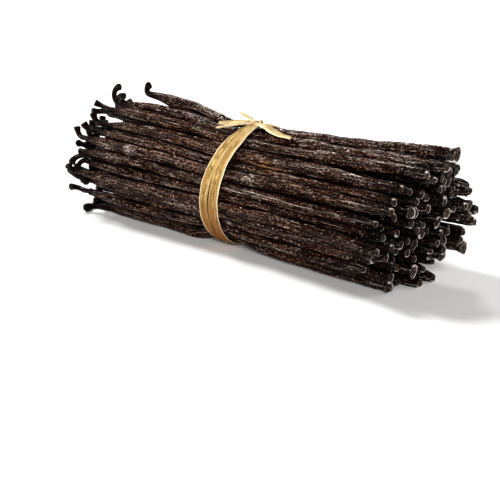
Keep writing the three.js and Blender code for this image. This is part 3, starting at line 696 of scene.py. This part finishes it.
def makePodMaterial():
    # tones laid one over another: grooves, partly painted shade, and skin, crests as painted highlight,
    # then gaps as painted shade, stems and tips, the tips darkened as painted shade, then frost with
    # painted glints
    material, w = newMaterial("curedPod")
    tint, span, cover = tinted(podSkin), podSkin["spans"], podSkin["cover"]
    place = w.node("ShaderNodeTexCoord", out=3).scaled((1 / mm,) * 3)
    ridge, gap, stem, tip, shade, rimHighlight = (
        w.layer(key, "Fac") for key in ("ridge", "gap", "stem", "tip", "shade", "rimHighlight"))
    streak, thread, pebble, patch, powder, line, speck, fleck = patterned(w.layer("grain"), podSkin)
    lift = (podSkin["ridge"] * ridge + podSkin["streak"] * (streak - 0.5)
            + podSkin["thread"] * (thread - 0.5) + podSkin["pebble"] * (pebble - 0.5))
    # darker where the lift is low: partly painted shade in the relief's grooves, partly the skin's own
    # dark streaks
    tone = lift.held(*span["skin"]).blend(tint["grooveShade"], tint["skin"])
    warm = (patch + podSkin["shade"] * shade).held(*span["warm"]) * lift.held(*span["skin"])
    tone = (warm * cover["red"]).blend(tone, tint["red"])
    # painted highlight on the crests of the skin
    crestHighlight = lift.held(*span["crestHighlight"]) * pebble.held(*span["crestGrit"])
    tone = crestHighlight.blend(tone, tint["crestHighlight"])
    # painted sheen: the crests turn amber near the listed spots
    amberSheen = place.nearAny(podSkin["amberSheenSpots"], podSkin["amberSheenReach"])
    amberSheen = amberSheen * lift.held(*span["amber"]) * pebble.held(*span["amberSheenGrit"])
    tone = amberSheen.blend(tone, tint["amber"])
    # painted shade in the gaps where neighbouring pods press close
    tone = (gap * cover["gap"]).blend(tone, tint["gap"])
    tone = (stem * cover["stem"]).blend(tone, tint["stem"])
    # painted shade towards each tip in the stems' near-black, partly the tips' own darker skin
    tone = (tip * cover["tip"]).blend(tone, tint["stem"])
    # a painted highlight on one arc of each tip's rim, broken by grit; below 0 the rim value marks the
    # hollow
    gritty = cover["rimLeast"] + (1 - cover["rimLeast"]) * pebble.held(*span["rimGrit"])
    tone = (rimHighlight.held(*span["rimHighlight"]) * gritty).blend(tone, tint["rimHighlight"])
    tone = (rimHighlight * -1).held(*span["hollow"]).blend(tone, tint["hollow"])

    cloudy = place.noise(*podSkin["cloudy"]).held(*span["cloudy"])
    thick = place.nearAny(podSkin["frosted"], podSkin["frostReach"])
    powder = (powder + podSkin["thicker"] * thick).held(*span["powder"])
    powder = powder * (cloudy + podSkin["thickest"] * thick)
    # painted highlight: long thin lines along the pods; the specks and flecks are partly sugar crystals,
    # partly painted glints, all in the frost tone
    line = line.held(*span["line"]) * thread.held(*span["lineThread"])
    speck, fleck = speck.held(*span["speck"]), fleck.held(*span["fleck"])
    frostAndGlints = (cover["powder"] * powder + cover["speck"] * speck + cover["fleck"] * fleck
             + cover["line"] * line) * (1 - stem) * (1 - gap)
    tone = frostAndGlints.held(0, 1).blend(tone, tint["frostAndGlints"])

    rough, relief = podSkin["rough"], podSkin["relief"]
    dull = (rough["skin"] + rough["patch"] * (patch - 0.5) - rough["crestHighlight"] * lift.held(*span["gloss"])
            + rough["frostAndGlints"] * frostAndGlints + rough["gap"] * gap - rough["tip"] * tip)
    height = relief["streak"] * streak + relief["thread"] * thread + relief["pebble"] * pebble
    finishMaterial(w, tone, dull, (1.0, relief["depth"], height), **podSkin["shine"])
    return material


def addPieces(pieces, material, node):
    # each piece's points come down to the floor that the solids stand on
    for name, (points, quads, fans, values) in pieces.items():
        points = points - np.array([*bundle["middle"], bundle["flatCut"]])
        points[:, 2] = np.maximum(points[:, 2], 0)
        piece = meshFrom(name, points, quads, fans, material, values)
        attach(piece, "root")
        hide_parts(node)
        print(name, "made:", 2 * len(quads) + len(fans), "triangles")


outer = podIndex[podOuter][np.argsort(podGirth[podOuter])]
addPieces({
    **{name: podSurface(pods, podForm["outerAround"], podForm["outerRings"], True)
       for name, pods in zip(podForm["girths"], np.array_split(outer, len(podForm["girths"])))},
    "innerPods": podSurface(podIndex[~podOuter], podForm["innerAround"], podForm["innerRings"], False),
}, makePodMaterial(), "pods")


# ---- the raffia tie ----
tie = {  # the same named values as the solids have, then what only the surface needs
    "bandThickness": 0.5, "bandGap": 0.6, "bandLean": 0.17,
    "bands": {  # here and below, k tells one ribbon's fibres from another's
        "bandStem": {"side": -1, "wide": 4.6, "layer": 0, "k": 2},
        "bandTip": {"side": 1, "wide": 5.4, "layer": 0.35, "k": 4},
    },
    "knotX": 0.6, "knotWidth": 3.4, "knotSpread": 0.32, "gatherAngle": 0.75, "knotRise": 1.2,
    "lap": 0.3, "slit": 0.7, "slitFrom": 0.95, "slitOver": 0.5,
    "ways": 120, "facing": 0.3, "probes": (-8, -4, 0, 4, 8), "cornerTurn": 0.24, "cornerWays": 9,
    "around": 72, "bandRings": 260, "tailRings": 90, "knotRings": 180, "sectionTurns": 27,
    "fibre": {"size": 0.20, "each": 1.3, "waves": 5, "rate": 0.55, "rateStep": 0.4, "sway": 1.5,
              "long": 13, "longStep": 5, "fade": 0.4, "whole": 2.6},
    "pleat": {"size": 0.26, "across": 3.1, "sway": 1.2, "long": 19},
    "fray": ((0.05, 3.1, 1), (0.03, 1.3, 2)),  # each wave's size, its length and how its start steps
    "flatness": 0.55, "thinEdge": 0.4, "grainDepth": 0.6, "grainShift": 17.0,
    # how the painted highlight along the edges falls off, and its share on the inner edges
    "edgePower": 3, "innerEdge": 0.55,
    "knot": {"size": 0.75, "lift": 0.4, "wide": 1.7, "swell": 0.2, "thick": 0.9, "k": 9},
    "tailThickness": 0.4, "cupWidth": 2.5,
    "tails": {  # steps from the knot, and the width at each
        "tailRight": {"steps": ((0, 0, 0), (8, -3, 0.7), (18, -7, -0.3), (28, -10.5, -0.6)),
                      "wide": (2.6, 4.6, 4.4, 2.2), "curl": 0.9, "k": 20},
        "tailLeft": {"steps": ((0, 0, 0), (-5, -2, 0.6), (-10, -4.6, 0), (-15, -7, -0.6)),
                     "wide": (2.4, 4.8, 5.2, 3.2), "curl": 0.7, "k": 21},
        "tailThin": {"steps": ((0, 0, 0), (-4, -4, 0), (-9, -8, -1.2), (-13, -11, -2.0)),
                     "wide": (1.6, 1.6, 1.5, 1.2), "curl": 0.2, "k": 22},
        "tailStub": {"steps": ((0, 0, 0.4), (-3, 0.6, 1.3), (-6, 0.8, 2.2), (-9, 0.5, 3.2)),
                     "wide": (2.4, 3, 3, 2.2), "curl": 0.5, "k": 23},
    },
}
waistTop = centreZ + bundle["waistZ"]


def bandX(z):  # the band leans: lower down it stands further towards the stems
    return tie["knotX"] - tie["bandLean"] * (waistTop - z)


def measureReach():
    # in each direction round the waist, how far the pods reach, measured along that direction
    way = np.arange(tie["ways"]) / tie["ways"] * tau
    x = bandX(centreZ + bundle["waistZ"] * np.cos(way))[:, None] + np.array(tie["probes"])
    x = x[..., None]
    spot = lineAt(x, podIndex)
    far = (-spot[..., 0] * np.sin(way)[:, None, None]
           + (spot[..., 1] - centreZ) * np.cos(way)[:, None, None] + podRadius(x, podIndex))
    return way, far.max((1, 2))


reachWay, reachFar = measureReach()


def tautRadius(angle):
    # a taut loop: the nearest of the straight lines that bound the pods, averaged over a few
    # directions so that its corners are round
    turns = np.linspace(-1, 1, tie["cornerWays"])[:, None] * tie["cornerTurn"]
    c = np.cos(np.asarray(angle)[..., None, None] + turns - reachWay)
    bound = np.where(c > tie["facing"], reachFar / np.maximum(c, tie["facing"]), np.inf)
    return bound.min(-1).mean(-1)


def fibres(v, s, k, count):
    # lengthwise fibres: sines across the width v whose phases wander slowly with the length s
    form = tie["fibre"]
    total = 0 * v * s
    for j in range(form["waves"]):
        rate = count * (form["rate"] + form["rateStep"] * j)
        wander = form["sway"] * np.sin(s / (form["long"] + form["longStep"] * j) + j)
        total = total + np.sin(rate * v * tau + wander + tau * chance(j, k)) / (1 + form["fade"] * j)
    return total / form["whole"]


def ribbonSection(wide, thick, s, k):
    # a flat oval section, thinner at its edges, with fibres and a pleat or two raised on both faces
    phi = np.arange(tie["around"]) / tie["around"] * tau
    v = np.cos(phi)
    h = np.sign(np.sin(phi)) * np.abs(np.sin(phi)) ** tie["flatness"]
    frayed = 1
    for size, long, start in tie["fray"]:
        frayed = frayed + size * np.sin(s / long + start * k)
    across = 0.5 * wide[..., None] * v * frayed[..., None]
    edge = np.abs(np.sin(phi)) ** tie["thinEdge"]
    fibre, pleat = tie["fibre"], tie["pleat"]
    relief = fibre["size"] * fibres(0.5 * v, s[..., None], k, wide.max() * fibre["each"]) * edge
    wave = np.cos(pleat["across"] * v + pleat["sway"] * np.sin(s[..., None] / pleat["long"] + k))
    return across, 0.5 * thick * h + relief + pleat["size"] * wave * edge


def ribbonValues(wide, s, k, poles, outer=0):
    # along and across the fibres in mm, and how near the edge, where the material paints a highlight: less
    # on the side away from outer
    phi = np.arange(tie["around"]) / tie["around"] * tau
    v = np.cos(phi)
    thread = np.stack([0.5 * wide[:, None] * v + tie["grainShift"] * k,
                       tie["grainDepth"] * np.sin(phi) + 0 * wide[:, None],
                       s[:, None] + 0 * v], -1).reshape(-1, 3)
    edge = np.abs(v) ** tie["edgePower"] * np.where(outer * v < 0, tie["innerEdge"], 1)
    edge = np.broadcast_to(edge, (len(s), tie["around"])).reshape(-1)
    if poles:
        thread = np.concatenate([thread, thread[:1], thread[-1:]])
        edge = np.concatenate([edge, [1, 1]])
    return {"thread": thread, "edge": edge}


def makeBand(side, wide, layer, k):
    # round the waist: a taut loop whose strands close up towards the knot and part lower down
    a = np.arange(tie["bandRings"]) / tie["bandRings"] * tau
    turn = np.abs(np.angle(np.exp(1j * a)))
    spread = ease(turn / tie["gatherAngle"])
    parted = (tie["lap"] + tie["slit"]) * ease((turn - tie["slitFrom"]) / tie["slitOver"]) - tie["lap"]
    gathered = tie["knotWidth"] * tie["knotSpread"] * (1 - spread)
    apart = gathered + (wide + parted) * 0.5 * spread
    wide = tie["knotWidth"] + (wide - tie["knotWidth"]) * spread
    radius = tautRadius(a) + tie["bandGap"] + (0.5 + layer) * tie["bandThickness"]
    out = np.stack([0 * a, -np.sin(a), np.cos(a)], -1)
    path = out * radius[:, None] + np.array([0, 0, centreZ])
    path[:, 0] = bandX(path[:, 2]) + side * apart
    s = np.cumsum(np.linalg.norm(np.roll(path, -1, 0) - path, axis=1))
    evened = s * tau * tie["sectionTurns"] / s[-1]
    across, outwards = ribbonSection(wide, tie["bandThickness"], evened, k)
    alongX = np.tile([1.0, 0, 0], (len(a), 1))
    wall = carried(path, alongX, out, across, outwards)
    quads, fans = ringFaces(1, len(a), tie["around"], True)
    return wall.reshape(-1, 3), quads, fans, ribbonValues(wide, s, k, False, side)


def curveThrough(steps, count):
    # a smooth cubic through points, each with as many values as it needs
    p = np.asarray(steps, float)
    p = np.concatenate([2 * p[:1] - p[1:2], p, 2 * p[-1:] - p[-2:-1]])
    t = np.linspace(0, len(steps) - 1, count)
    j = np.minimum(t.astype(int), len(steps) - 2)
    return cubic(p[j], p[j + 1], p[j + 2], p[j + 3], (t - j)[:, None])


knotAt = np.array([tie["knotX"], 0, centreZ + tautRadius(0.0) + tie["bandGap"] + tie["knotRise"]])


def makeTail(steps, wide, curl, k):
    # a ribbon carried from the knot, cupped across its width and narrowing to its end
    line = curveThrough([(*step, w) for step, w in zip(steps, wide)], tie["tailRings"])
    path, wide = knotAt + line[:, :3], line[:, 3]
    along = unit(np.gradient(path, axis=0))
    side = unit(np.cross(np.array([0, 0, 1.0]), along))
    up = np.cross(along, side)
    s = np.concatenate([[0], np.cumsum(np.linalg.norm(np.diff(path, axis=0), axis=1))])
    across, outwards = ribbonSection(wide, tie["tailThickness"], s, k)
    outwards = outwards - curl * (across / tie["cupWidth"]) ** 2
    wall = carried(path, side, up, across, outwards)
    poles = np.stack([wall[0].mean(0), wall[-1].mean(0)])
    quads, fans = ringFaces(1, len(path), tie["around"], False)
    return np.concatenate([wall.reshape(-1, 3), poles]), quads, fans, ribbonValues(wide, s, k, True)


def makeKnot(size, lift, wide, swell, thick, k):
    # one turn of an overhand knot: a trefoil, whose strand is flattened against the band
    t = np.linspace(0, tau, tie["knotRings"] + 1)[:-1]
    path = size * np.stack([np.sin(t) + 2 * np.sin(2 * t), np.cos(t) - 2 * np.cos(2 * t),
                            -np.sin(3 * t)], -1)
    along = unit(np.roll(path, -1, 0) - np.roll(path, 1, 0))
    out = unit(path + np.array([0, 0, lift]))
    side = unit(np.cross(out, along))
    up = np.cross(along, side)
    s = np.cumsum(np.linalg.norm(np.roll(path, -1, 0) - path, axis=1))
    wide = wide + swell * np.sin(2 * t)
    across, outwards = ribbonSection(wide, thick, s, k)
    wall = carried(path + knotAt, side, up, across, outwards)
    quads, fans = ringFaces(1, len(t), tie["around"], True)
    return wall.reshape(-1, 3), quads, fans, ribbonValues(wide, s, k, False)


raffia = {
    "tones": {"straw": (0.43, 0.265, 0.068), "pale": (0.80, 0.64, 0.34), "amber": (0.30, 0.130, 0.032),
              "olive": (0.21, 0.140, 0.024), "brown": (0.085, 0.040, 0.012),
              "cream": (0.93, 0.84, 0.62)},
    # noise over the fibres: its stretch, then its scale, detail, roughness and warp
    "patterns": {
        "strand": ((1, 1, 0.05), 2.2, 4, 0.65, 0.2), "fibre": ((1, 1, 0.04), 3.4, 3, 0.6),
        "patch": ((0.4, 0.4, 0.12), 1.0, 2, 0.5), "blotch": ((1, 1, 0.45), 0.95, 3, 0.7),
    },
    # painted shade: browner towards the ground; painted light: cream on top
    "shadedLow": (36, 6), "litTop": (50, 58),  # mm above the ground, from none to all
    # from where to where each mask rises
    "spans": {
        "pale": (0.44, 0.64), "patch": (0.5, 0.75), "blotch": (0.48, 0.62), "fibre": (0.50, 0.60),
        "paleEdgeHighlight": (0.30, 0.5), "darkFibre": (0.58, 0.66), "cream": (0.36, 0.56), "rimHighlight": (0.45, 0.82),
    },
    # how far each tone covers the ones under it
    "cover": {"patch": 0.35, "olive": 0.75, "fibre": 0.80, "shadedLow": 0.55, "shadedLowStrand": 0.8,
              "darkFibre": 0.85, "cream": 0.5, "rimHighlight": 0.78},
    "rough": 0.5, "roughFibre": 0.25,
    "relief": {"strength": 0.9, "depth": 0.5, "fibre": 0.6, "strand": 0.4},
    "shine": {"Specular IOR Level": 0.4},
}


def makeRaffiaMaterial():
    # tones laid one over another: straw and pale strands, olive blotches, amber and brown fibres,
    # browner towards the ground as painted shade, then cream on top as painted light and along the edges
    # as a painted highlight
    material, w = newMaterial("strawRaffia")
    tint, span, cover = tinted(raffia), raffia["spans"], raffia["cover"]
    edge = w.layer("edge", "Fac")
    height = w.node("ShaderNodeSeparateXYZ", None, {0: w.node("ShaderNodeTexCoord", out=3)}, 2) * (1 / mm)
    strand, fibre, patch, blotch = patterned(w.layer("thread"), raffia)
    tone = strand.held(*span["pale"]).blend(tint["straw"], tint["pale"])
    tone = (patch.held(*span["patch"]) * cover["patch"]).blend(tone, tint["amber"])
    tone = (blotch.held(*span["blotch"]) * cover["olive"] * (1 - edge)).blend(tone, tint["olive"])
    tone = (fibre.held(*span["fibre"]) * cover["fibre"]).blend(tone, tint["amber"])
    # a painted highlight: pale along the edges
    tone = (edge * strand.held(*span["paleEdgeHighlight"])).blend(tone, tint["pale"])
    # painted shade: browner towards the ground
    shadedLow = height.held(*raffia["shadedLow"]) * (cover["shadedLow"] + cover["shadedLowStrand"] * strand)
    tone = shadedLow.blend(tone, tint["amber"])
    tone = (fibre.held(*span["darkFibre"]) * cover["darkFibre"]).blend(tone, tint["brown"])
    # painted light: cream on the top of the band
    litTop = height.held(*raffia["litTop"]) * strand.held(*span["cream"]) * cover["cream"]
    tone = litTop.blend(tone, tint["cream"])
    # a painted highlight: cream along the edges
    tone = (edge.held(*span["rimHighlight"]) * cover["rimHighlight"]).blend(tone, tint["cream"])
    relief = raffia["relief"]
    raised = relief["fibre"] * fibre + relief["strand"] * strand
    finishMaterial(w, tone, raffia["rough"] + raffia["roughFibre"] * fibre,
                   (relief["strength"], relief["depth"], raised), **raffia["shine"])
    return material


addPieces({
    **{name: makeBand(**facts) for name, facts in tie["bands"].items()},
    "knot": makeKnot(**tie["knot"]),
    **{name: makeTail(**facts) for name, facts in tie["tails"].items()},
}, makeRaffiaMaterial(), "raffia_tie")


# ---- floor, lights and camera ----
studio = {
    "floorSize": 24000, "floorCells": 8, "floorDrop": 0.02, "floorTones": (0.86, 0.88),
    "floorClouds": (1.5, 2, 0.5), "floorRough": 0.85, "floorRelief": (0.02, 0.1),
    "worldTone": (1.0, 0.90, 0.84), "worldLight": 0.14, "worldSeen": 2.0,
    "lamps": {  # the way to each soft lamp, its width in degrees and its strength
        "lampKey": ((-0.62, -0.14, 0.77), 14, 1.84),
        "lampFront": ((0.48, -0.76, 0.52), 24, 1.80),
        "lampBack": ((-0.60, 0.62, 0.50), 12, 0.7),
        "lampRim": ((0.50, 0.70, 0.50), 20, 0.6),
    },
    "target": (0.62, -1.9, -3.80), "azimuth": 41.01, "elevation": 19.26,
    "distance": 447.84, "lens": 72.0, "sensor": 36, "clipStart": 0.01,
}


def makeFloor():
    # a flat grid of square cells, a hair under the bundle
    material, w = newMaterial("plainFloor")
    cloudy = w.node("ShaderNodeTexCoord", out=3).noise(*studio["floorClouds"])
    tone = cloudy.blend(*((grey,) * 3 + (1,) for grey in studio["floorTones"]))
    finishMaterial(w, tone, studio["floorRough"], (*studio["floorRelief"], cloudy))
    half, cells = studio["floorSize"] / 2, studio["floorCells"]
    x, y = np.meshgrid(np.linspace(-half, half, cells + 1), np.linspace(-half, half, cells + 1))
    points = np.stack([x, y, 0 * x - studio["floorDrop"]], -1).reshape(-1, 3)
    n = np.arange(cells)[:, None] * (cells + 1) + np.arange(cells)
    quads = np.stack([n, n + 1, n + cells + 2, n + cells + 1], -1).reshape(-1, 4)
    floor = meshFrom("floor", points, quads, np.zeros((0, 3), int), material)


def makeStudio():
    # a plain room and four soft lamps, each turned so that its light comes from its way
    world = bpy.data.worlds.new("softRoom")
    bpy.context.scene.world = world
    world.use_nodes = True
    backdrop = world.node_tree.nodes["Background"]
    backdrop.inputs["Color"].default_value = (*studio["worldTone"], 1)
    # looked at directly the room is white, and as a light it stays dim
    direct = Wire(world.node_tree).node("ShaderNodeLightPath")
    bright = studio["worldLight"] + (studio["worldSeen"] - studio["worldLight"]) * direct
    world.node_tree.links.new(bright.socket, backdrop.inputs["Strength"])
    for name, (way, width, strength) in studio["lamps"].items():
        lamp = bpy.data.lights.new(name, "SUN")
        lamp.angle, lamp.energy = math.radians(width), strength
        made = bpy.data.objects.new(name, lamp)
        made.rotation_euler = Vector(way).to_track_quat("Z", "Y").to_euler()
        bpy.context.scene.collection.objects.link(made)


def makeCamera():
    # it stands back from its target by the distance, along the azimuth and elevation
    turn, rise = math.radians(studio["azimuth"]), math.radians(studio["elevation"])
    back = Vector((math.sin(turn) * math.cos(rise), -math.cos(turn) * math.cos(rise), math.sin(rise)))
    data = bpy.data.cameras.new("camera")
    data.lens, data.sensor_width, data.clip_start = studio["lens"], studio["sensor"], studio["clipStart"]
    camera = bpy.data.objects.new("camera", data)
    camera.location = (Vector(studio["target"]) + back * studio["distance"]) * mm
    camera.rotation_euler = back.to_track_quat("Z", "Y").to_euler()
    bpy.context.scene.collection.objects.link(camera)
    bpy.context.scene.camera = camera


makeFloor()
makeStudio()
makeCamera()
bpy.context.scene.view_settings.view_transform = "Standard"
bpy.context.scene.view_settings.look = "High Contrast"
print("floor, lights and camera placed")
